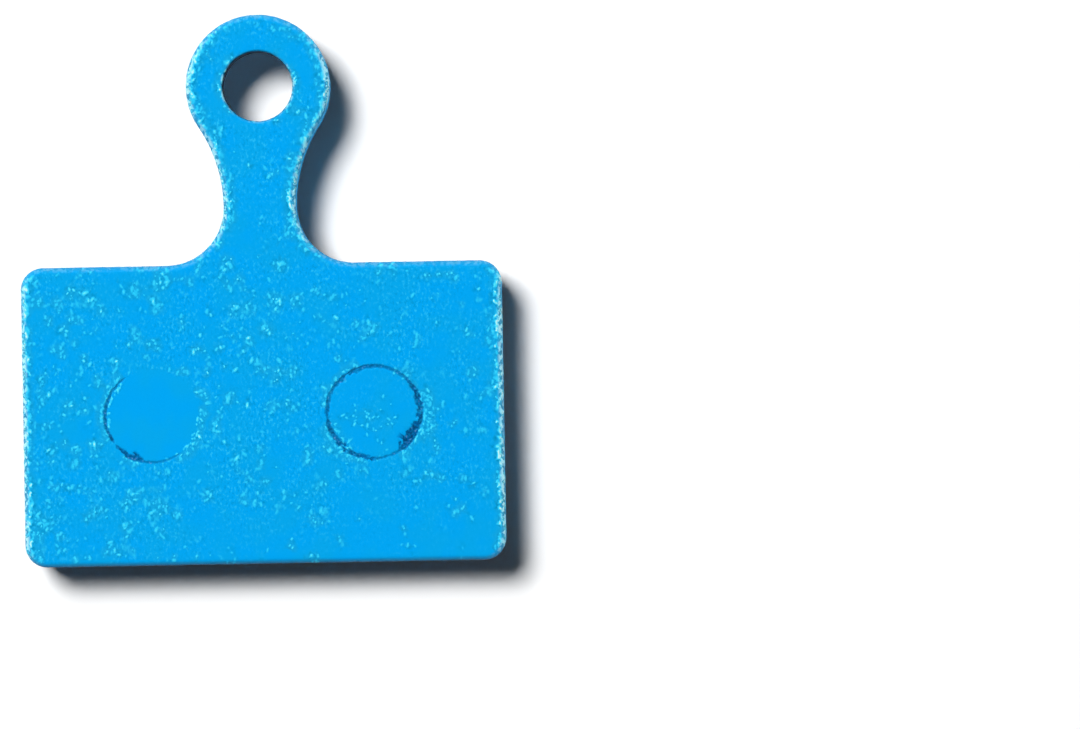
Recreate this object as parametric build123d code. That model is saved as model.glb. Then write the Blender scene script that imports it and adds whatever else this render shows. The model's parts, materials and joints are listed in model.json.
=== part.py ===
from build123d import *
import os
from math import asin, degrees

# Bicycle disc brake pad: a steel backing plate, blanked and painted, with a friction block moulded onto it.
# Units are millimetres. The pad lies on its rubbing face, in the plane z = 0. The origin is the point of that
# face on the piston's axis, behind the middle of the plate. +Y points to the ear that the retaining pin passes
# through, and +Z from the rubbing face to the back of the plate.

# Backing plate
plate_width = 30.0
plate_height = 18.7
plate_thickness = 2.0
plate_corner_radius = 1.4
back_edge_radius = 0.4  # rounding that blanking draws down along the edge of the back
front_edge_break = 0.12  # deburred edge on the friction side

# Ear for the retaining pin
ear_radius = 4.5
pin_hole_diameter = 4.3
pin_hole_rise = 11.05  # pin axis above the plate's top edge
pin_hole_edge_radius = 0.2
neck_width = 4.55  # at its narrowest
neck_foot_radius = 3.6  # where the neck runs out into the plate's top edge

# Friction block
friction_thickness = 2.0
friction_side_margin = 2.2  # plate edge to block, at the base of the block
friction_top_margin = 0.85  # the same at the top, on the centre line
friction_bottom_margin = 2.4  # the same at the bottom, on the centre line
track_inner_radius = 61.0  # of the rotor's track, which the block's lower and upper edges follow
friction_top_corner_radius = 2.6
friction_bottom_corner_radius = 3.5
friction_draft = 4.0  # degrees, so that the block leaves its mould
friction_edge_break = 0.18  # round the rubbing face

# Holes in the plate that the compound fills and grips
key_hole_diameter = 5.85
key_hole_spacing = 13.8
key_hole_edge_break = 0.15
key_plug_edge_break = 0.12
key_shrink_gap = 0.03  # all round each plug, from curing
key_recess = 0.05  # of the plugs below the back of the plate

# Heights and places that follow from the sizes above
plate_front = friction_thickness
plate_top = plate_height / 2
pin_place = (0, plate_top + pin_hole_rise)
key_places = [(-key_hole_spacing / 2, 0), (key_hole_spacing / 2, 0)]


def plate_outline():
    """Face of the blank: a rounded rectangle whose top edge sweeps up a neck into a round ear."""
    half_width = plate_width / 2
    half_neck = neck_width / 2
    # The flank is one arc, upright where the neck is narrowest and tangent to the ear.
    flank_rise = pin_hole_rise - neck_foot_radius
    flank_radius = (flank_rise**2 / (ear_radius - half_neck) - ear_radius - half_neck) / 2
    flank_angle = degrees(asin(flank_rise / (flank_radius + ear_radius)))
    with BuildSketch() as blank:
        with BuildLine():
            base = Line((0, -plate_top), (half_width - plate_corner_radius, -plate_top))
            low_corner = JernArc(base @ 1, base % 1, plate_corner_radius, 90)
            side = Line(low_corner @ 1, (half_width, plate_top - plate_corner_radius))
            high_corner = JernArc(side @ 1, side % 1, plate_corner_radius, 90)
            shoulder = Line(high_corner @ 1, (half_neck + neck_foot_radius, plate_top))
            foot = JernArc(shoulder @ 1, shoulder % 1, neck_foot_radius, -90)
            flank = JernArc(foot @ 1, foot % 1, flank_radius, -flank_angle)
            JernArc(flank @ 1, flank % 1, ear_radius, 90 + flank_angle)
            mirror(about=Plane.YZ)
        make_face()
    return blank.sketch


def make_backing_plate():
    """The blank with its back edge rounded, pierced for the pin and for the compound."""
    with BuildPart(Plane.XY.offset(plate_front)) as plate:
        add(plate_outline())
        extrude(amount=plate_thickness)
        fillet(plate.edges().group_by(Axis.Z)[-1], back_edge_radius)
        chamfer(plate.edges().group_by(Axis.Z)[0], front_edge_break)
        with Locations(pin_place):
            Hole(pin_hole_diameter / 2)
        fillet(new_mouths(plate), pin_hole_edge_radius)
        with Locations(key_places):
            Hole(key_hole_diameter / 2)
        chamfer(new_mouths(plate).group_by(Axis.Z)[-1], key_hole_edge_break)
    return plate.part


def new_mouths(plate):
    """Circular edges of the holes that were pierced last."""
    return plate.edges(Select.LAST).filter_by(GeomType.CIRCLE)


def block_outline():
    """Face of the block at its base: a stretch of the rotor's track, with its corners rounded."""
    rotor_axis = friction_bottom_margin - plate_top - track_inner_radius
    track_outer_radius = plate_top - friction_top_margin - rotor_axis
    block_width = plate_width - 2 * friction_side_margin
    with BuildSketch() as stretch:
        with Locations((0, rotor_axis)):
            Circle(track_outer_radius)
            Circle(track_inner_radius, mode=Mode.SUBTRACT)
            column = (Align.CENTER, Align.MIN)
            Rectangle(block_width, track_outer_radius, align=column, mode=Mode.INTERSECT)
        fillet(stretch.vertices().group_by(Axis.Y)[0], friction_bottom_corner_radius)
        fillet(stretch.vertices().group_by(Axis.Y)[-1], friction_top_corner_radius)
    return stretch.sketch


def make_friction_block():
    """The moulded compound, drawn off the plate's front, with the two plugs that fill its key holes."""
    plug_radius = key_hole_diameter / 2 - key_shrink_gap
    plug_height = plate_thickness - key_recess
    parting_plane = Plane.XY.offset(plate_front)
    with BuildPart(parting_plane) as block:
        add(block_outline())
        extrude(amount=-friction_thickness)
        draft(block.faces().filter_by(Axis.Z, reverse=True), -parting_plane, friction_draft)
        chamfer(block.edges().group_by(Axis.Z)[0], friction_edge_break)
        with Locations(key_places):
            Cylinder(plug_radius, plug_height, align=(Align.CENTER, Align.CENTER, Align.MIN))
        chamfer(block.edges().group_by(Axis.Z)[-1], key_plug_edge_break)
    return block.part


os.makedirs("parts", exist_ok=True)
export_step(make_backing_plate(), "parts/backing_plate.step")
export_step(make_friction_block(), "parts/friction_block.step")
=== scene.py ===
import json
import math
import random

import bpy
import numpy as np
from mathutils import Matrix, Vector, kdtree, noise
from mathutils.geometry import delaunay_2d_cdt


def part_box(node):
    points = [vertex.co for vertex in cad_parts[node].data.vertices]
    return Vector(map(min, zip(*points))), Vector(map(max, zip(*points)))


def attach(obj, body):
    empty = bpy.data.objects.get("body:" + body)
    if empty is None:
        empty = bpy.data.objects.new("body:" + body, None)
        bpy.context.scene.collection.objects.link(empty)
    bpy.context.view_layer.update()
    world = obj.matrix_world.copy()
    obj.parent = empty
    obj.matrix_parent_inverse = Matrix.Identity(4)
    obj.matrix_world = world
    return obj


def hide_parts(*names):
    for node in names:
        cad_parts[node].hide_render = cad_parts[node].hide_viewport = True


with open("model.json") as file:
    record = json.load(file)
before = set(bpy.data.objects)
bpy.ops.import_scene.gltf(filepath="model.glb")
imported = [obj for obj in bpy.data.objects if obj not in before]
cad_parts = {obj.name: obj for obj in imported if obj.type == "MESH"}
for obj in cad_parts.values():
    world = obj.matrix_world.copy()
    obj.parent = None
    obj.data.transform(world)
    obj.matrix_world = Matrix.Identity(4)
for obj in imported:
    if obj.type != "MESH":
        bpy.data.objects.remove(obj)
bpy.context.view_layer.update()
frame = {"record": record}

MM = 0.001  # sizes are in millimetres until a mesh or the camera is made, and the lamps are in metres

# Sizes that the frame gives
plate_low, plate_high = (np.array(corner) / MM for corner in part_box("backing_plate"))
block_low, block_high = (np.array(corner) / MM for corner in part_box("friction_block"))
mounts = {mount["name"]: mount for mount in frame["record"]["mounts"]}
pin_place = np.array(mounts["pin_hole"]["pos_m"][:2]) / MM
pin_radius = mounts["pin_hole"]["dims"]["r_mm"]
ear_radius = plate_high[1] - pin_place[1]
half_plate = plate_high[0]
plate_top = -plate_low[1]
plate_front, plate_back = plate_low[2], plate_high[2]
half_block = block_high[0]

# Sizes of the plate and block that their boxes don't give
corner_radius = 1.4
half_neck = 2.275
foot_radius = 3.6
back_rounding = 0.4
front_break = 0.12
pin_rounding = 0.2
block_bottom_margin = 2.4
track_inner_radius = 61.0
block_top_corner = 2.6
block_bottom_corner = 3.5
block_draft = math.radians(4)
block_break = 0.18
key_places = {"left": np.array([-6.9, 0]), "right": np.array([6.9, 0])}
seam_radius = 2.91
seam_wall = 0.015  # half the gap between a plug and its hole, below the paint

# Paint and compound
paint_sink = 0.022  # of level paint below the drawn surface, which only the tallest flecks reach
fleck_strings = 3300  # tried over the back, of which each place keeps its share
edge_fleck_step = 0.1  # along the outline, from one try to the next
pin_fleck_step = 0.14  # the same round the pin hole
faint_fleck = 0.45  # strength below which a fleck has a coarser mesh
fleck_rise = 0.018
fleck_waver = 0.35  # how uneven a fleck's outline is
fleck_fringe = 0.35  # width of the dip round a fleck, as a share of the fleck's own half
fleck_dip = 0.18  # strength of that dip, as a share of the fleck's own
fleck_reach = 0.6  # how far round a place its flecks are looked for
dip_depth = 0.01
seam_depth = 0.08
ragged_depth = 0.16  # of the block's rim and walls
grain_size = 0.34

# Spacing of the meshes' points
plate_step = 0.12
bore_step = 0.1
seam_step = 0.055
block_step = 0.13
back_spacing = 0.36
front_spacing = 0.4
rubbing_spacing = 0.125
rim_clearance = 0.1  # from a rim to the points that fill it
hole_clearance = 0.56  # from a seam to the loose points on the plate, past the seam's own rings
plug_clearance = 0.55  # the same on a plug
merge_distance = 0.015  # closer points of a filled rim become one
sharp_angle = math.radians(50)  # between faces that aren't shaded as one


def line(start, end, step):
    """A straight run of an outline, less its end: its points, and the way out at each."""
    start, along = np.array(start, float), np.subtract(end, start)
    length = np.hypot(*along)
    count = max(1, round(length / step))
    share = np.arange(count)[:, None] / count
    out = np.array([along[1], -along[0]]) / length
    return start + share * along, np.tile(out, (count, 1))


def arc(centre, radius, start, end, step):
    """A round run, less its end, between two angles in degrees. It is hollow where it goes clockwise."""
    count = max(2, round(radius * math.radians(abs(end - start)) / step))
    angles = np.radians(start + (end - start) * np.arange(count) / count)
    spokes = np.stack([np.cos(angles), np.sin(angles)], 1)
    return np.array(centre) + radius * spokes, spokes * np.sign(end - start)


def both_halves(top, *runs):
    """A whole outline from the runs of its right half, from the foot of the centre line to its top."""
    points, outs = (np.concatenate(parts) for parts in zip(*runs))
    points, outs = np.vstack([points, (0, top)]), np.vstack([outs, (0, 1)])
    other_side = np.array([-1, 1])
    points = np.vstack([points, points[-2:0:-1] * other_side])
    outs = np.vstack([outs, outs[-2:0:-1] * other_side])
    return points, outs


def plate_outline(step):
    """The blank: a rounded rectangle whose top edge sweeps up a neck into a round ear."""
    rise = pin_place[1] - plate_top - foot_radius
    flank_radius = (rise**2 / (ear_radius - half_neck) - ear_radius - half_neck) / 2
    flank_angle = math.degrees(math.asin(rise / (flank_radius + ear_radius)))
    inner_x, inner_y = half_plate - corner_radius, plate_top - corner_radius
    foot_x, foot_y = half_neck + foot_radius, plate_top + foot_radius
    return both_halves(
        plate_high[1],
        line((0, -plate_top), (inner_x, -plate_top), step),
        arc((inner_x, -inner_y), corner_radius, -90, 0, step),
        line((half_plate, -inner_y), (half_plate, inner_y), step),
        arc((inner_x, inner_y), corner_radius, 0, 90, step),
        line((inner_x, plate_top), (foot_x, plate_top), step),
        arc((foot_x, foot_y), foot_radius, 270, 180, step),
        arc((half_neck + flank_radius, foot_y), flank_radius, 180, 180 - flank_angle, step),
        arc(pin_place, ear_radius, -flank_angle, 90, step),
    )


def block_outline():
    """The block at its base: a stretch of the rotor's track, with its corners rounded."""
    axis = block_bottom_margin - plate_top - track_inner_radius
    track_outer_radius = block_high[1] - axis
    low_x, high_x = half_block - block_bottom_corner, half_block - block_top_corner
    low_rise = math.sqrt((track_inner_radius + block_bottom_corner) ** 2 - low_x**2)
    high_rise = math.sqrt((track_outer_radius - block_top_corner) ** 2 - high_x**2)
    low_angle = math.degrees(math.atan2(low_rise, low_x))
    high_angle = math.degrees(math.atan2(high_rise, high_x))
    return both_halves(
        block_high[1],
        arc((0, axis), track_inner_radius, 90, low_angle, block_step),
        arc((low_x, axis + low_rise), block_bottom_corner, low_angle - 180, 0, block_step),
        line((half_block, axis + low_rise), (half_block, axis + high_rise), block_step),
        arc((high_x, axis + high_rise), block_top_corner, 0, high_angle, block_step),
        arc((0, axis), track_outer_radius, high_angle, 90, block_step),
    )


def near_tree(places):
    """A tree that finds which of some places are near another one."""
    tree = kdtree.KDTree(len(places))
    for number, (x, y) in enumerate(places):
        tree.insert(Vector((x, y, 0)), number)
    tree.balance()
    return tree


class Skin:
    """The surface of a piece while it is being made. It runs from the front, round the edges, to the back."""

    def __init__(self):
        self.points = np.empty((0, 3))
        self.facing = np.empty((0, 3))
        self.faces = []
        self.finishes = []

    def add(self, points, facing):
        """Adds points, with the way that each faces, and returns their numbers."""
        first = len(self.points)
        self.points = np.vstack([self.points, points])
        self.facing = np.vstack([self.facing, facing])
        return np.arange(first, len(self.points))

    def ring(self, outline, inset, height, tilt):
        """Points inside an outline, by one inset or one for each. They face out, tilted up in degrees."""
        points, outs = outline
        level, upward = math.cos(math.radians(tilt)), math.sin(math.radians(tilt))
        heights = np.full(len(points), height)
        facing = np.column_stack([outs * level, np.full(len(points), upward)])
        return self.add(np.column_stack([points - np.reshape(inset, (-1, 1)) * outs, heights]), facing)

    def sweep(self, outline, profile, finish=0):
        """Rings along a profile of inset, height and tilt, with quads between. Returns the two end rings."""
        rings = [self.ring(outline, *place) for place in profile]
        for low, high in zip(rings, rings[1:]):
            quads = np.column_stack([low, np.roll(low, -1), np.roll(high, -1), high])
            self.faces += quads.tolist()
            self.finishes += [finish] * len(quads)
        return rings[0], rings[-1]

    def fill(self, rims, inner, upward, finish=0):
        """Triangles from the first rim in to the others, through the inner points clear of them all."""
        known = np.concatenate(rims)
        height = self.points[known[0], 2]
        rim_tree = near_tree(self.points[known, :2])
        clear = [p for p in inner if rim_tree.find(Vector((*p, 0)))[2] > rim_clearance]
        flat = [Vector(p) for p in self.points[known, :2]] + [Vector(p) for p in clear]
        loops, start = [], 0
        for rim in rims:
            x, y = self.points[rim, :2].T
            turn = 1 if np.sum(x * np.roll(y, -1) - y * np.roll(x, -1)) > 0 else -1
            loops.append(list(range(start, start + len(rim)))[::turn])
            start += len(rim)
        spots, _, triangles, sources, _, owners = delaunay_2d_cdt(flat, [], loops, 1, merge_distance)
        kept = [t for t, owner in zip(triangles, owners) if list(owner) == [0]]
        used = sorted({spot for t in kept for spot in t})
        numbers, fresh = {}, []
        for spot in used:
            first = min(sources[spot], default=len(known))
            if first < len(known):
                numbers[spot] = known[first]
            else:
                fresh.append(spot)
        places = np.reshape([(*spots[spot], height) for spot in fresh], (-1, 3))
        numbers.update(zip(fresh, self.add(places, np.tile((0, 0, upward), (len(fresh), 1)))))
        self.faces += [[numbers[spot] for spot in t[::upward]] for t in kept]
        self.finishes += [finish] * len(kept)

    def piece(self, name, finishes, values):
        """The object, with its finishes and the values at each point that they read."""
        mesh = bpy.data.meshes.new(name)
        mesh.from_pydata((self.points * MM).tolist(), [], self.faces)
        for finish in finishes:
            mesh.materials.append(finish)
        mesh.polygons.foreach_set("material_index", self.finishes)
        mesh.polygons.foreach_set("use_smooth", [True] * len(self.faces))
        for value_name, value in values.items():
            layer = mesh.attributes.new(value_name, "FLOAT", "POINT")
            layer.data.foreach_set("value", np.asarray(value, np.float32))
        mesh.update()
        mesh.set_sharp_from_angle(angle=sharp_angle)
        made = bpy.data.objects.new(name, mesh)
        bpy.context.scene.collection.objects.link(made)
        return made


def rounded(radius, top, steps):
    """Profile of an edge rounded over to the back, from the wall to level."""
    angles = np.linspace(0, 90, steps)
    turns = np.radians(angles)
    return list(zip(radius * (1 - np.cos(turns)), top - radius * (1 - np.sin(turns)), angles))


def wall(low, high, steps):
    """Profile of an upright wall."""
    return [(0, height, 0) for height in np.linspace(low, high, steps)]


def smooth(low, high, value):
    """0 below low and 1 above high, with a smooth rise between them."""
    share = np.clip((value - low) / (high - low), 0, 1)
    return share * share * (3 - 2 * share)


def waves(points, length, shift=0.0):
    """Noise from -1 to 1 at each point, whose waves are about so long."""
    return np.array([noise.noise(Vector(p) / length + Vector((shift, shift, 0))) for p in points])


# Breaks in the paint along the seam round each plug: hour round the plug as on a clock, seen from the back,
# how far the break reaches outwards and inwards from the seam, how ragged it is, and how dark
seam_breaks = {
    "left": [
        (0.0, 0.0, 0.0, 0.0, 0.3),
        (4.7, 0.0, 0.0, 0.0, 0.3),
        (5.1, 0.05, 0.05, 0.2, 0.4),
        (6.3, 0.06, 0.07, 0.3, 0.6),
        (6.55, 0.07, 0.2, 0.5, 0.85),
        (6.75, 0.09, 0.3, 0.45, 0.95),
        (7.1, 0.1, 0.2, 0.5, 0.95),
        (7.6, 0.05, 0.05, 0.6, 0.9),
        (7.8, 0.0, 0.0, 0.3, 0.7),
        (8.0, 0.06, 0.07, 0.3, 0.9),
        (8.7, 0.1, 0.06, 0.5, 0.8),
        (9.3, 0.1, 0.06, 0.6, 0.75),
        (10.0, 0.08, 0.06, 0.5, 0.75),
        (10.7, 0.05, 0.05, 0.6, 0.6),
        (10.9, 0.0, 0.0, 0.2, 0.4),
        (12.0, 0.0, 0.0, 0.0, 0.3),
    ],
    "right": [
        (0.0, 0.05, 0.13, 0.2, 0.75),
        (0.8, 0.04, 0.11, 0.2, 0.6),
        (1.0, 0.05, 0.09, 0.6, 0.6),
        (1.6, 0.05, 0.1, 0.6, 0.8),
        (2.0, 0.08, 0.12, 0.8, 0.95),
        (2.6, 0.1, 0.18, 0.8, 0.95),
        (3.3, 0.1, 0.18, 0.8, 0.95),
        (3.7, 0.08, 0.3, 0.6, 1.0),
        (4.2, 0.08, 0.42, 0.55, 1.0),
        (4.7, 0.06, 0.36, 0.6, 1.0),
        (4.95, 0.05, 0.08, 0.5, 0.6),
        (5.7, 0.05, 0.06, 0.5, 0.55),
        (6.2, 0.09, 0.1, 0.8, 0.9),
        (6.8, 0.1, 0.11, 0.8, 0.9),
        (7.5, 0.11, 0.16, 0.8, 0.9),
        (8.2, 0.11, 0.1, 0.6, 0.9),
        (9.0, 0.1, 0.09, 0.5, 0.8),
        (9.8, 0.09, 0.09, 0.5, 0.75),
        (10.3, 0.08, 0.1, 0.6, 0.75),
        (10.6, 0.05, 0.16, 0.7, 0.8),
        (11.3, 0.06, 0.2, 0.8, 0.8),
        (11.6, 0.05, 0.14, 0.3, 0.8),
        (12.0, 0.05, 0.13, 0.2, 0.75),
    ],
}

# Flecks beside the seams and on a plug: which plug, first and last hour, least and most distance from the
# plug's middle, and how many
seam_flecks = [
    ("left", 8.0, 10.8, 3.0, 3.22, 40),
    ("left", 8.4, 10.6, 2.66, 2.82, 28),
    ("left", 1.0, 3.0, 2.9, 3.6, 20),
    ("left", 3.0, 5.0, 2.75, 3.25, 34),
    ("left", 6.4, 7.4, 2.95, 3.15, 6),
    ("right", 2.2, 4.0, 3.0, 3.7, 40),
    ("right", 0.9, 3.2, 2.75, 3.1, 22),
    ("right", 4.0, 5.0, 3.0, 3.2, 9),
    ("right", 6.6, 8.6, 2.98, 3.3, 26),
    ("right", 7.0, 8.6, 2.5, 2.8, 12),
    ("right", 9.3, 11.4, 2.98, 3.2, 18),
    ("right", 0.0, 12.0, 0.1, 2.0, 20),
    ("right", 6.5, 9.5, 0.3, 1.6, 10),
]


def clock_place(plug, hour, distance):
    """Where a clock's hour is, so far from the middle of a plug."""
    turn = math.radians(90 - 30 * hour)
    return key_places[plug] + distance * np.array([math.cos(turn), math.sin(turn)])


def from_plug(x, y):
    """How far a place is from the middle of the nearer plug."""
    return min(math.hypot(x - place[0], y - place[1]) for place in key_places.values())


def upward_share(x, y):
    """Share of the paint's marks that a place keeps. They thin out downwards, the more so at the right."""
    return 0.25 + 0.75 * smooth(-9.0, -4.5, y - 0.15 * x + 0.5)


def fleck_share(x, y):
    """How likely a string of flecks is to start at a place on the back."""
    patches = max(0.05, 0.55 + noise.noise(Vector((x, y, 0)) / 2.0))
    if y > plate_top:
        return 0.3 * patches
    if from_plug(x, y) < seam_radius:
        return 0.0
    return upward_share(x, y) * (1 - 0.025 * x) * patches


def scatter_flecks(draw):
    """The raised flecks of the paint, coloured paler as painted glints: place, half length, half width, lean
    and strength of each.
    """
    flecks = []

    def put(x, y, width, strength):
        lean = math.radians(draw.gauss(80, 35))
        length = width * draw.uniform(1.1, 2.7)
        flecks.append((x, y, length, width, math.cos(lean), math.sin(lean), strength))

    # Strings of flecks all over the back
    for _ in range(fleck_strings):
        x = draw.uniform(-half_plate, half_plate)
        y = draw.uniform(plate_low[1], plate_high[1])
        if draw.random() > fleck_share(x, y):
            continue
        heading = math.radians(draw.gauss(70, 45))
        bright = draw.choice([0.25, 0.32, 0.42, 0.55, 0.73, 0.93])
        bright *= 1 - 0.18 * max(smooth(0.0, 7.0, x), smooth(-2.0, -4.0, y))
        for _ in range(draw.choice([1, 1, 1, 1, 2, 3, 4])):
            put(x, y, draw.uniform(0.048, 0.126), bright * draw.uniform(0.7, 1.3))
            stride = draw.uniform(0.12, 0.45)
            x += stride * math.cos(heading)
            y += stride * math.sin(heading)
            heading += math.radians(draw.gauss(0, 60))
    # Flecks at the plugs
    for plug, first, last, near, far, count in seam_flecks:
        for _ in range(count):
            spot = clock_place(plug, draw.uniform(first, last), draw.uniform(near, far))
            put(*spot, draw.uniform(0.05, 0.09), draw.uniform(0.45, 1))
    # Painted glints: flecks along the outline, most of them at the sides, and farther in on the ear and neck
    for point, out in zip(*plate_outline(edge_fleck_step)):
        side = abs(out[0]) ** 3
        if draw.random() < 0.04 + 0.85 * side:
            spot = point - draw.uniform(0.02, 0.5) * out
            put(*spot, draw.uniform(0.06, 0.12), draw.uniform(0.5, 1.7) * (0.4 + 0.6 * side))
        if point[1] > plate_top and draw.random() < 0.55 * side:
            inset = draw.triangular(0.2, 1.1, 0.2)
            put(*(point - inset * out), draw.uniform(0.05, 0.1), draw.uniform(0.6, 1.5) * (1.2 - inset))
    # Painted glints: flecks round the pin hole, most of them at its sides
    for point, out in zip(*arc(pin_place, pin_radius, 360, 0, pin_fleck_step)):
        if draw.random() < 0.08 + 0.7 * out[0] ** 4:
            spot = point - draw.uniform(0.03, 0.3) * out
            put(*spot, draw.uniform(0.05, 0.09), draw.uniform(0.7, 1.6))
    return flecks


flecks = scatter_flecks(random.Random(19))
fleck_tree = near_tree([fleck[:2] for fleck in flecks])


def fleck_at(x, y):
    """How much of a fleck is at a place: 1 in the middle of a strong one, and below 0 in the dip round it."""
    crest = dip = 0.0
    for _, number, _ in fleck_tree.find_range(Vector((x, y, 0)), fleck_reach):
        middle_x, middle_y, half_length, half_width, along, across, strength = flecks[number]
        dx, dy = x - middle_x, y - middle_y
        out = math.hypot((dx * along + dy * across) / half_length, (dy * along - dx * across) / half_width)
        out *= 1 + fleck_waver * noise.noise(Vector((x / 0.1, y / 0.1, number)))
        if out < 1:
            crest = max(crest, strength * (1 - out * out))
        elif out < 1 + fleck_fringe:
            dip = min(dip, -strength * fleck_dip * math.sin(math.pi * (out - 1) / fleck_fringe))
    return crest if crest else dip


def haze_at(x, y):
    """How thick the flecks are round a place: 0 where they are few, and 1 in the middle of a patch."""
    near = 0.0
    for _, number, distance in fleck_tree.find_range(Vector((x, y, 0)), fleck_reach):
        near += flecks[number][-1] * (1 - distance / fleck_reach) ** 2
    return smooth(0.3, 1.0, near)


def inside(outline, x, y):
    """Whether a place is inside an outline."""
    start_x, start_y = outline.T
    end_x, end_y = np.roll(outline, -1, 0).T
    passed = (start_y > y) != (end_y > y)
    share = (y - start_y[passed]) / (end_y - start_y)[passed]
    return np.count_nonzero(x < start_x[passed] + share * (end_x - start_x)[passed]) % 2 == 1


# Rings of mesh points round a fleck: size as a share of the fleck's own, and how many points
faint_rings = [(0.55, 5), (1.3, 6)]
full_rings = [(0.5, 5), (0.9, 8), (1.17, 8), (1.4, 7)]


def face_points(draw, spacing, within, strong_rings=full_rings):
    """Points for the triangles of a painted face: rings round each fleck, and a loose grid between them."""
    spots = []
    for x, y, half_length, half_width, along, across, strength in flecks:
        if not within(x, y):
            continue
        spots.append((x, y))
        for out, count in strong_rings if strength > faint_fleck else faint_rings:
            for turn in np.arange(count) * 2 * math.pi / count:
                u, v = out * half_length * math.cos(turn), out * half_width * math.sin(turn)
                spots.append((x + u * along - v * across, y + u * across + v * along))
    row_share = 0.866  # height of an equal-sided triangle, as a share of its side
    rows = np.arange(plate_low[1], plate_high[1], spacing * row_share)
    for row, y in enumerate(rows):
        for x in np.arange(-half_plate + spacing * (row % 2) / 2, half_plate, spacing):
            spot = x + draw.uniform(-0.2, 0.2) * spacing, y + draw.uniform(-0.2, 0.2) * spacing
            if within(*spot) and fleck_at(*spot) == 0:
                spots.append(spot)
    return spots


def seam_at(points):
    """How far the paint is broken open at each point: 1 well inside a break, and 0 where it is whole."""
    broken = np.zeros(len(points))
    rough = waves(points, 0.17) + 0.6 * waves(points, 0.08, 31.0)
    wander = 0.07 * waves(points, 0.5, 12.0)
    bridged = 1 - smooth(-0.4, -0.1, waves(points, 0.3, 44.0))
    for plug, breaks in seam_breaks.items():
        away = points[:, :2] - key_places[plug]
        hours = (90 - np.degrees(np.arctan2(away[:, 1], away[:, 0]))) / 30 % 12
        table = np.array(breaks)
        outwards, inwards, ragged, dark = (np.interp(hours, table[:, 0], column) for column in table.T[1:])
        across = np.hypot(*away.T) - seam_radius - wander * ragged
        reach = np.where(across > 0, outwards, inwards) * (1 - bridged * ragged)
        edge = 1.4 * reach - np.abs(across) + rough * ragged * (0.05 + 0.35 * reach)
        shade = dark * (1 - 0.4 * ragged * smooth(-0.1, 0.5, waves(points, 0.14, 57.0)))
        broken = np.maximum(broken, shade * smooth(-0.06, 0.07, edge) * smooth(0.0, 0.025, reach))
    return broken


def plug_share(points):
    """How much of the paint's faint marks is left at each point. They are few on the plugs."""
    left = np.ones(len(points))
    for plug, share in (("left", 0.04), ("right", 0.45)):
        away = np.hypot(*(points[:, :2] - key_places[plug]).T)
        left *= share + (1 - share) * smooth(seam_radius - 0.1, seam_radius + 0.1, away)
    return left


def mottle_at(points):
    """How busy the paint's faint marks are at each point."""
    busy = np.clip(0.6 + 0.9 * waves(points, 1.7, 3.3), 0.05, 1)
    return busy * upward_share(points[:, 0], points[:, 1]) * plug_share(points)


def paint_relief(skin, painted):
    """Gives the painted points of a skin their relief. Returns what the paint reads at each point."""
    fleck, seam, haze, lift = np.zeros((4, len(skin.points)))
    back = painted & (skin.facing[:, 2] > 0.1) & (skin.points[:, 2] > plate_back - back_rounding)
    front = painted & (skin.facing[:, 2] < -0.9)
    upright = painted & ~(back | front)
    fleck[back] = [fleck_at(x, y) for x, y, _ in skin.points[back]]
    fleck[front] = [0.6 * fleck_at(x, y) for x, y, _ in skin.points[front]]
    fleck[upright] = 0.6 * smooth(0.25, 0.6, waves(skin.points[upright], 0.21, 17.0))
    seam[back] = seam_at(skin.points[back])
    haze[back] = [haze_at(x, y) for x, y, _ in skin.points[back]]
    haze *= plug_share(skin.points)
    slope = np.hypot(skin.facing[:, 0], skin.facing[:, 1])
    spots = skin.points[painted]
    lift[painted] = 0.004 * waves(spots, 1.3) + 0.002 * waves(spots, 0.6, 7.0) - paint_sink
    lift[painted] += slope[painted] * (0.012 * waves(spots, 0.33, 3.0) + 0.004 * waves(spots, 0.13, 23.0))
    fleck *= 1 - seam
    lift += fleck_rise * np.maximum(fleck, 0) + dip_depth * np.minimum(fleck, 0) - seam_depth * seam
    skin.points += skin.facing * np.minimum(lift, 0)[:, None]
    across, along = skin.facing[:, :2].T / np.maximum(slope, 0.001)
    # Painted highlights on the rounded edges that face the sides, and more faintly towards the ear
    side = np.maximum(np.abs(across) ** 3, 0.2 * along)
    side *= smooth(0.0, 0.65, slope) * smooth(1.0, 0.93, slope)
    side *= np.clip(0.85 + 0.6 * waves(skin.points, 1.1, 5.0), 0, 1)
    # Painted shade in the bore, below its rounded mouths
    from_pin = np.hypot(*(skin.points[:, :2] - pin_place).T)
    depth = np.minimum(plate_back - skin.points[:, 2], skin.points[:, 2] - plate_front)
    thin = smooth(0.1, pin_rounding, depth) * (from_pin < pin_radius + pin_rounding)
    return {
        "fleck": fleck,
        "haze": haze,
        "mottle": mottle_at(skin.points),
        "seam": seam,
        "side": side,
        "slope": slope,
        "thin": thin,
    }


def seam_profile():
    """Profile of the rim of a plug, or of its hole, from deep in the plate up to the back and over it."""
    heights = [plate_front, 3.0, 3.6]
    insets = [0, 0.025, 0.05, 0.08, 0.11, 0.15, 0.2, 0.26, 0.33, 0.42, 0.53]
    return [(seam_wall, height, 0) for height in heights] + [(inset, plate_back, 90) for inset in insets]


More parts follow.
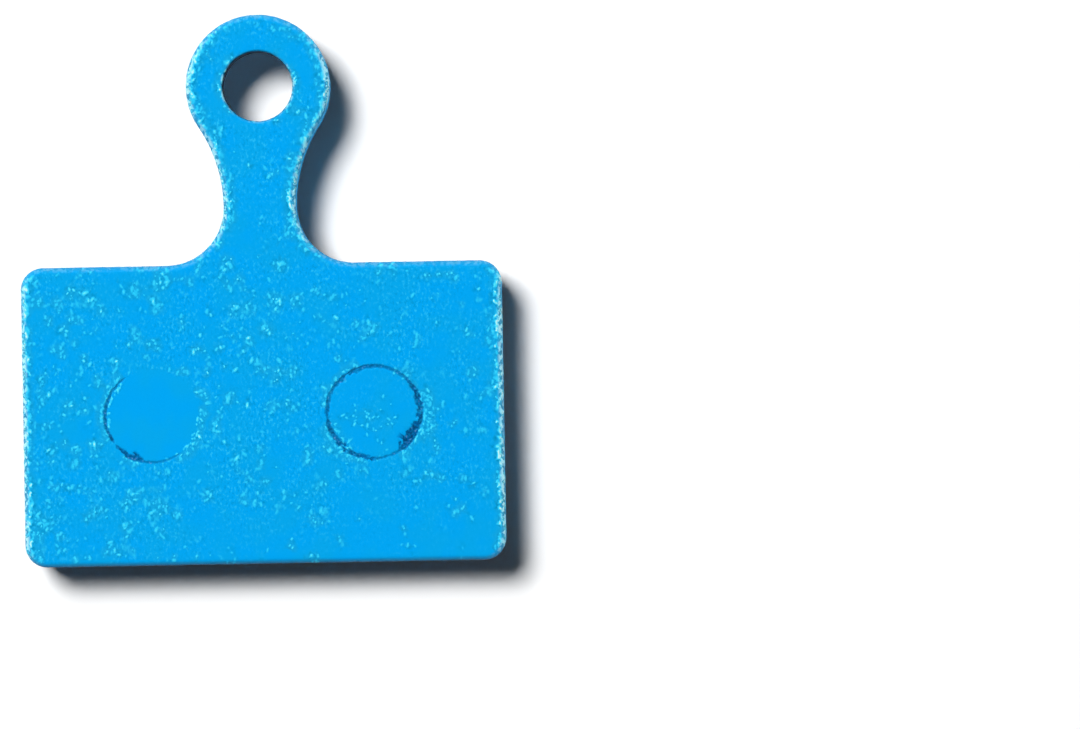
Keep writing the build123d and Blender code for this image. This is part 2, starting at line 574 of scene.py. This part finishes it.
def make_plate(paint):
    """The blanked steel plate in its paint."""
    draw = random.Random(5)
    skin = Skin()
    edge = [
        (front_break, plate_front, -70),
        *wall(plate_front + front_break, plate_back - back_rounding, 9)[:-1],
        *rounded(back_rounding, plate_back, 9),
    ]
    front_rim, back_rim = skin.sweep(plate_outline(plate_step), edge)
    front_mouth = [
        (inset, plate_front + plate_back - height, -tilt)
        for inset, height, tilt in reversed(rounded(pin_rounding, plate_back, 5))
    ]
    bore_wall = wall(plate_front + 2 * pin_rounding, plate_back - 2 * pin_rounding, 6)
    bore = front_mouth + bore_wall + rounded(pin_rounding, plate_back, 6)
    holes = [skin.sweep(arc(pin_place, pin_radius, 360, 0, bore_step), bore)]
    for place in key_places.values():
        holes.append(skin.sweep(arc(place, seam_radius, 360, 0, seam_step), seam_profile()))
    back_points = face_points(draw, back_spacing, lambda x, y: from_plug(x, y) > seam_radius + hole_clearance)
    skin.fill([back_rim, *(back for _, back in holes)], back_points, 1)
    block = block_outline()[0]
    front_points = face_points(draw, front_spacing, lambda x, y: not inside(block, x, y), faint_rings)
    skin.fill([front_rim, *(front for front, _ in holes)], front_points, -1)
    values = paint_relief(skin, np.full(len(skin.points), True))
    return skin.piece("painted_backing_plate", [paint], values)


def raggedness(outline, height):
    """How far the block falls short of each point of its outline, at a height."""
    points = outline[0]
    spots = np.column_stack([points, np.full(len(points), height)])
    return ragged_depth * smooth(-0.1, 0.7, waves(spots, 0.45, 13.0) + 0.6 * waves(spots, 0.2, 29.0))


def make_block(compound, paint):
    """The moulded friction block, with the two plugs whose ends are painted over with the plate."""
    draw = random.Random(11)
    skin = Skin()
    outline = block_outline()
    taper = math.tan(block_draft)
    face_inset = plate_front * taper + block_break
    profile = []
    for out in (0, 0.4, 0.75):
        height = block_break * (1 - math.sqrt(1 - out**2))
        profile.append((face_inset - block_break * out, height, 90 * out - 90))
    for height in np.linspace(block_break, plate_front, 15):
        profile.append(((plate_front - height) * taper, height, 0))
    ragged = [(inset + raggedness(outline, height), height, tilt) for inset, height, tilt in profile]
    face_rim, base_rim = skin.sweep(outline, ragged)
    loose = 0.3 * rubbing_spacing
    face_grid = [
        (x + draw.uniform(-loose, loose), y + draw.uniform(-loose, loose))
        for x in np.arange(-half_block, half_block, rubbing_spacing)
        for y in np.arange(block_low[1], block_high[1], rubbing_spacing)
    ]
    skin.fill([face_rim], face_grid, -1)
    plug_feet = []
    within = seam_radius - plug_clearance
    for place in key_places.values():
        foot, rim = skin.sweep(arc(place, seam_radius, 0, 360, seam_step), seam_profile(), 1)
        plug_feet.append(foot)
        spots = face_points(draw, back_spacing, lambda x, y: np.hypot(x - place[0], y - place[1]) < within)
        skin.fill([rim], spots, 1, 1)
    skin.fill([base_rim, *plug_feet], [], 1)
    on_plug = np.zeros(len(skin.points), bool)
    for face, finish in zip(skin.faces, skin.finishes):
        if finish == 1:
            on_plug[face] = True
    values = paint_relief(skin, on_plug)
    values["pit"], values["chip"] = crumble(skin, ~on_plug)
    values["foot"] = smooth(plate_front - 0.45, plate_front - 0.05, skin.points[:, 2])
    return skin.piece("moulded_friction_block", [compound, paint], values)


def crumble(skin, rough):
    """Sinks the gaps between the compound's grains and chips its rim. Returns both at each point."""
    spots = skin.points[rough]
    foot_tree = near_tree(block_outline()[0])
    from_rim = np.array([foot_tree.find(Vector((x, y, 0)))[2] for x, y, _ in spots])
    gaps = np.array([noise.voronoi(Vector(p) / grain_size)[0][:2] for p in spots])
    gap = 1 - smooth(0.0, 0.45, gaps[:, 1] - gaps[:, 0])
    hollow = smooth(0.1, 0.6, waves(spots, 0.9, 5.0))
    broken = smooth(0.1, 0.5, waves(spots, 0.55, 9.0) + 0.5 * waves(spots, 0.24, 21.0))
    broken *= smooth(0.45, 0.1, spots[:, 2]) * smooth(0.8, 0.35, from_rim)
    upright = np.hypot(skin.facing[rough, 0], skin.facing[rough, 1])
    free = smooth(0.0, 0.15, plate_front - spots[:, 2])
    depth = (0.03 * gap + 0.035 * hollow * gap + 0.13 * broken * np.maximum(upright, 0.6)) * free
    skin.points[rough] -= skin.facing[rough] * depth[:, None]
    pit, chip = np.zeros((2, len(skin.points)))
    pit[rough] = np.clip(0.75 * gap + 0.5 * hollow * gap, 0, 1) * free
    chip[rough] = broken
    return pit, chip


class Value:
    """An output of a node. Arithmetic on it adds Math nodes."""

    def __init__(self, finish, output):
        self.finish = finish
        self.output = output

    def math(self, operation, first, second):
        """A Math node on two values or numbers."""
        return self.finish.node("ShaderNodeMath", {"operation": operation}, {0: first, 1: second})

    def __add__(self, other):
        return self.math("ADD", self, other)

    def __sub__(self, other):
        return self.math("SUBTRACT", self, other)

    def __mul__(self, other):
        return self.math("MULTIPLY", self, other)

    def at_least(self, other):
        return self.math("MAXIMUM", self, other)

    def at_most(self, other):
        return self.math("MINIMUM", self, other)

    def unsigned(self):
        return self.math("ABSOLUTE", self, 0.0)

    __radd__ = __add__
    __rmul__ = __mul__


class Finish:
    """A material, or the world, while its nodes are laid out."""

    def __init__(self, made):
        self.made = made
        made.use_nodes = True
        self.tree = made.node_tree
        self.tree.nodes.clear()

    def node(self, kind, settings, sockets, output=0):
        """Adds a node, with its settings and its sockets' values or links. Returns one of its outputs."""
        made = self.tree.nodes.new(kind)
        for name, setting in settings.items():
            if name == "stops":
                stops = made.color_ramp.elements
                while len(stops) < len(setting):
                    stops.new(0.5)
                for stop, (place, colour) in zip(stops, setting):
                    stop.position, stop.color = place, colour
            else:
                setattr(made, name, setting)
        for name, value in sockets.items():
            if isinstance(value, Value):
                self.tree.links.new(value.output, made.inputs[name])
            else:
                made.inputs[name].default_value = value
        return Value(self, made.outputs[output]) if made.outputs else None

    def mix(self, share, first, second):
        """A colour between two others."""
        return self.node("ShaderNodeMix", {"data_type": "RGBA"}, {0: share, 6: first, 7: second}, 2)

    def rise(self, value, low, high):
        """0 below low and 1 above high, with a smooth rise between them."""
        settings = {"interpolation_type": "SMOOTHSTEP"}
        return self.node("ShaderNodeMapRange", settings, {0: value, 1: low, 2: high, 3: 0.0, 4: 1.0})

    def place(self):
        """Where a point of the surface is on the object."""
        return self.node("ShaderNodeTexCoord", {}, {}, "Object")

    def stretched(self, x, y, z):
        """The same, stretched so that a pattern's marks become so many times longer."""
        sockets = {"Vector": self.place(), "Scale": (1 / x, 1 / y, 1 / z)}
        return self.node("ShaderNodeMapping", {}, sockets)

    def speckle(self, place, size, detail=2.0, roughness=0.5):
        """Noise from 0 to 1 whose marks are about so many millimetres across."""
        sockets = {"Vector": place, "Scale": 1 / (size * MM), "Detail": detail, "Roughness": roughness}
        return self.node("ShaderNodeTexNoise", {}, sockets)

    def value(self, name):
        """A value that the mesh holds at each of its points."""
        return self.node("ShaderNodeAttribute", {"attribute_name": name}, {}, "Fac")

    def seen(self):
        """1 where the camera, a gloss or a clear piece shows the surface, and 0 where it only gives light."""
        rays = ("Is Camera Ray", "Is Glossy Ray", "Is Transmission Ray")
        straight, glossy, through = (self.node("ShaderNodeLightPath", {}, {}, ray) for ray in rays)
        return straight + glossy + through

    def surface(self, shader, kind="ShaderNodeOutputMaterial"):
        """Ends the nodes with a shader, and returns the material or world."""
        self.node(kind, {}, {"Surface": shader})
        return self.made


def tone(red, green, blue):
    """A colour from the 0 to 255 steps that a screen shows."""
    steps = np.array([red, green, blue]) / 255
    linear = np.where(steps <= 0.04045, steps / 12.92, ((steps + 0.055) / 1.055) ** 2.4)
    return (*linear.tolist(), 1.0)


def grey(light):
    """A colour that throws back so much of the light."""
    return (light, light, light, 1.0)


def blue_paint():
    """Stoved paint on blasted steel. Its raised flecks are coloured as painted glints, and its seams are dark
    where broken.
    """
    finish = Finish(bpy.data.materials.new("plate_paint"))
    place = finish.place()
    values = ("fleck", "haze", "mottle", "seam", "side", "slope", "thin")
    fleck, haze, mottle, seam, side, slope, thin = (finish.value(name) for name in values)
    patches = finish.rise(finish.speckle(place, 2.2), 0.35, 0.65)
    streaks = finish.rise(finish.speckle(finish.stretched(1, 4, 1), 0.15), 0.52, 0.75)
    marks = finish.speckle(finish.stretched(1, 1.6, 1), 0.16, 2.0, 0.6)
    lumps = finish.speckle(finish.stretched(1, 1.3, 1), 0.24, 1.5)
    glint_chunks = finish.rise(lumps, 0.48, 0.56)
    glint_breaks = finish.rise(lumps, 0.35, 0.42) * finish.rise(lumps, 0.5, 0.44)
    grain = finish.speckle(place, 0.1, 3.0, 0.6)
    # Level paint, greener among the flecks, with faint marks in it
    colour = finish.mix(patches, tone(1, 169, 248), tone(6, 170, 240))
    colour = finish.mix(0.5 * haze, colour, tone(28, 168, 216))
    colour = finish.mix(0.4 * streaks * mottle, colour, tone(28, 187, 252))
    colour = finish.mix(0.6 * finish.rise(marks, 0.45, 0.34) * mottle, colour, tone(3, 148, 209))
    colour = finish.mix(0.75 * finish.rise(marks, 0.56, 0.66) * mottle, colour, tone(46, 199, 253))
    # Painted shade: darker on the rounded edges and upright walls
    colour = finish.mix(0.6 * finish.rise(slope, 0.2, 0.7), colour, tone(10, 146, 204))
    # Flecks, from the dip round each to the strongest middle: raised grains coloured paler as painted glints,
    # with painted shade in the dip round each
    colour = finish.mix((fleck * -4.0).at_least(0.0).at_most(1.0), colour, tone(2, 142, 194))
    colour = finish.mix(finish.rise(fleck, 0.02, 0.5), colour, tone(42, 207, 255))
    colour = finish.mix(finish.rise(fleck, 0.45, 1.0), colour, tone(88, 234, 255))
    colour = finish.mix(finish.rise(fleck, 0.85, 1.35), colour, tone(208, 250, 255))
    # Painted highlights on the rounded edges that face the sides, and more faintly towards the ear, broken up
    # by darker bits
    colour = finish.mix(0.45 * side, colour, tone(104, 172, 194))
    colour = finish.mix(0.88 * glint_chunks * side, colour, tone(182, 241, 252))
    colour = finish.mix(0.65 * glint_breaks * side, colour, tone(12, 108, 146))
    # Painted shade in the bore
    colour = finish.mix(0.9 * thin, colour, tone(6, 66, 98))
    # Broken seams
    smear = finish.speckle(place, 0.18, 3.0)
    dark = finish.mix(finish.rise(smear, 0.38, 0.6), tone(6, 58, 104), tone(2, 98, 164))
    dark = finish.mix(0.8 * finish.rise(smear, 0.6, 0.7), dark, tone(100, 138, 190))
    colour = finish.mix(0.97 * seam, colour, dark)
    bump = finish.node("ShaderNodeBump", {}, {"Strength": 0.35, "Distance": 0.02 * MM, "Height": grain})
    shader = finish.node(
        "ShaderNodeBsdfPrincipled",
        {},
        {
            "Base Color": colour,
            "Roughness": 0.27 + 0.12 * grain + 0.3 * seam + 0.33 * finish.rise(slope, 0.2, 0.7),
            "Normal": bump,
        },
    )
    return finish.surface(shader)


def friction_compound():
    """Resin with mineral, metal and fibre grains."""
    finish = Finish(bpy.data.materials.new("friction_compound"))
    place = finish.place()
    pit, chip, foot = (finish.value(name) for name in ("pit", "chip", "foot"))
    cells = {"Vector": place, "Scale": 1 / (0.17 * MM), "Randomness": 1.0}
    grains = finish.node("ShaderNodeTexVoronoi", {}, cells, "Color")
    lot = finish.node("ShaderNodeSeparateColor", {}, {"Color": grains}, 0)
    stops = [
        (0.0, tone(66, 50, 44)),
        (0.16, tone(98, 80, 72)),
        (0.45, tone(124, 105, 96)),
        (0.74, tone(140, 121, 112)),
        (0.86, tone(154, 128, 113)),
        (0.9, tone(176, 157, 147)),
        (1.0, tone(230, 214, 204)),
    ]
    colour = finish.node("ShaderNodeValToRGB", {"stops": stops}, {"Fac": lot})
    cloud = finish.speckle(place, 0.5, 4.0, 0.65)
    colour = finish.mix(0.5 * finish.rise(cloud, 0.45, 0.75), colour, tone(138, 117, 106))
    colour = finish.mix(0.6 * finish.rise(cloud, 0.5, 0.25), colour, tone(86, 69, 61))
    # Painted shade: darker in the sunk gaps between grains and in the hollows
    colour = finish.mix(0.45 * pit, colour, tone(62, 48, 42))
    grit = finish.speckle(place, 0.12, 3.0, 0.65)
    colour = finish.mix(0.4 * finish.rise(grit, 0.56, 0.72), colour, tone(214, 196, 186))
    colour = finish.mix(0.5 * finish.rise(grit, 0.45, 0.28), colour, tone(48, 36, 31))
    colour = finish.mix(0.5 * chip, colour, tone(178, 160, 150))
    colour = finish.mix(0.9 * foot * finish.rise(cloud + 0.25 * foot, 0.5, 0.62), colour, tone(84, 178, 226))
    bump = finish.node("ShaderNodeBump", {}, {"Strength": 0.8, "Distance": 0.05 * MM, "Height": grit})
    shader = finish.node(
        "ShaderNodeBsdfPrincipled",
        {},
        {
            "Base Color": colour,
            "Roughness": 0.72 + 0.2 * pit,
            "Specular IOR Level": 0.35,
            "Normal": bump,
        },
    )
    return finish.surface(shader)


def white_floor():
    """Paper that looks whiter than the light it throws back, most of all below the pad. It keeps shadows."""
    finish = Finish(bpy.data.materials.new("white_floor"))
    place = finish.place()
    fibres = finish.speckle(place, 1.5)
    colour = finish.mix(fibres, grey(0.94), grey(0.96))
    paper = finish.node("ShaderNodeBsdfDiffuse", {}, {"Color": colour})
    bleach = finish.node("ShaderNodeBsdfDiffuse", {}, {"Color": grey(0.12)})
    whiter = finish.node("ShaderNodeAddShader", {}, {0: paper, 1: bleach})
    x, y = (finish.node("ShaderNodeSeparateXYZ", {}, {"Vector": place}, axis) for axis in "XY")
    from_plate = (x.unsigned() - half_plate * MM).at_least(y.unsigned() - plate_top * MM)
    pin_foot = {0: place, 1: (*pin_place * MM, 0)}
    from_pin = finish.node("ShaderNodeVectorMath", {"operation": "DISTANCE"}, pin_foot, "Value")
    clear_at = 9 * MM  # from the pad, where the paper throws back its full light
    clear = finish.rise(from_plate.at_most(from_pin - ear_radius * MM), 0.0, clear_at)
    light = finish.mix(clear, grey(0.02), grey(0.65))
    duller = finish.node("ShaderNodeBsdfDiffuse", {}, {"Color": light})
    shader = finish.node("ShaderNodeMixShader", {}, {0: finish.seen(), 1: duller, 2: whiter})
    return finish.surface(shader)


def studio():
    """Faint light from all round. A gloss shows walls that are pale low down and dark overhead."""
    finish = Finish(bpy.data.worlds.new("studio"))
    way = finish.node("ShaderNodeTexCoord", {}, {}, "Generated")
    height = finish.node("ShaderNodeSeparateXYZ", {}, {"Vector": way}, "Z")
    walls = finish.mix(finish.rise(height, 0.0, 0.6), grey(0.7), grey(0.0))
    faint = finish.node("ShaderNodeBackground", {}, {"Color": grey(1.0), "Strength": 0.01})
    shown = finish.node("ShaderNodeBackground", {}, {"Color": walls})
    shader = finish.node("ShaderNodeMixShader", {}, {0: finish.seen(), 1: faint, 2: shown})
    return finish.surface(shader, "ShaderNodeOutputWorld")


def soft_box(name, place, size, light):
    """A rectangular lamp in metres, aimed at the pad, of so much light from each part of its face."""
    lamp = bpy.data.lights.new(name, "AREA")
    lamp.shape = "RECTANGLE"
    lamp.size, lamp.size_y = size
    lamp.energy = light * math.pi * size[0] * size[1]
    made = bpy.data.objects.new(name, lamp)
    made.location = place
    pad = Vector((0, 0.004, 0.004))
    made.rotation_euler = (pad - Vector(place)).to_track_quat("-Z", "Y").to_euler()
    made.visible_glossy = False
    made.visible_camera = False
    bpy.context.scene.collection.objects.link(made)


paint = blue_paint()
plate = make_plate(paint)
block = make_block(friction_compound(), paint)
for piece, node, slot in (
    (plate, "backing_plate", "plate_paint"),
    (block, "friction_block", "friction_compound"),
):
    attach(piece, "root")
    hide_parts(node)

# Floor, lamps and world
floor_size = 3.0
bpy.ops.mesh.primitive_plane_add(size=floor_size)
floor = bpy.context.object
floor.name = "white_floor"
floor.data.materials.append(white_floor())
strip_size = (0.36, 0.022)
strip_away, strip_height = 0.75, 0.014
soft_box("key_box", (-0.42, 0.45, 1.0), (0.42, 0.42), 29.5)
soft_box("left_strip", (-strip_away, 0.0, strip_height), strip_size, 43.0)
soft_box("right_strip", (strip_away, 0.0, strip_height), strip_size, 116.0)
soft_box("top_strip", (0.0, strip_away, strip_height), strip_size, 27.3)
bpy.context.scene.world = studio()

# Camera: straight above, with the pad at the left of its frame
frame_width = 67.22 * MM  # at the back of the plate
frame_middle = (17.28 * MM, 2.76 * MM)
frame_turn = math.radians(-1.05)
lens, sensor_width = 180.0, 36.0
camera = bpy.data.objects.new("camera", bpy.data.cameras.new("camera"))
camera.data.sensor_width = sensor_width
camera.data.lens = lens
camera.data.clip_start = 0.01
camera.location = (*frame_middle, plate_back * MM + frame_width * lens / sensor_width)
camera.rotation_euler = (0, 0, frame_turn)
bpy.context.scene.collection.objects.link(camera)
bpy.context.scene.camera = camera
bpy.context.scene.view_settings.view_transform = "Standard"
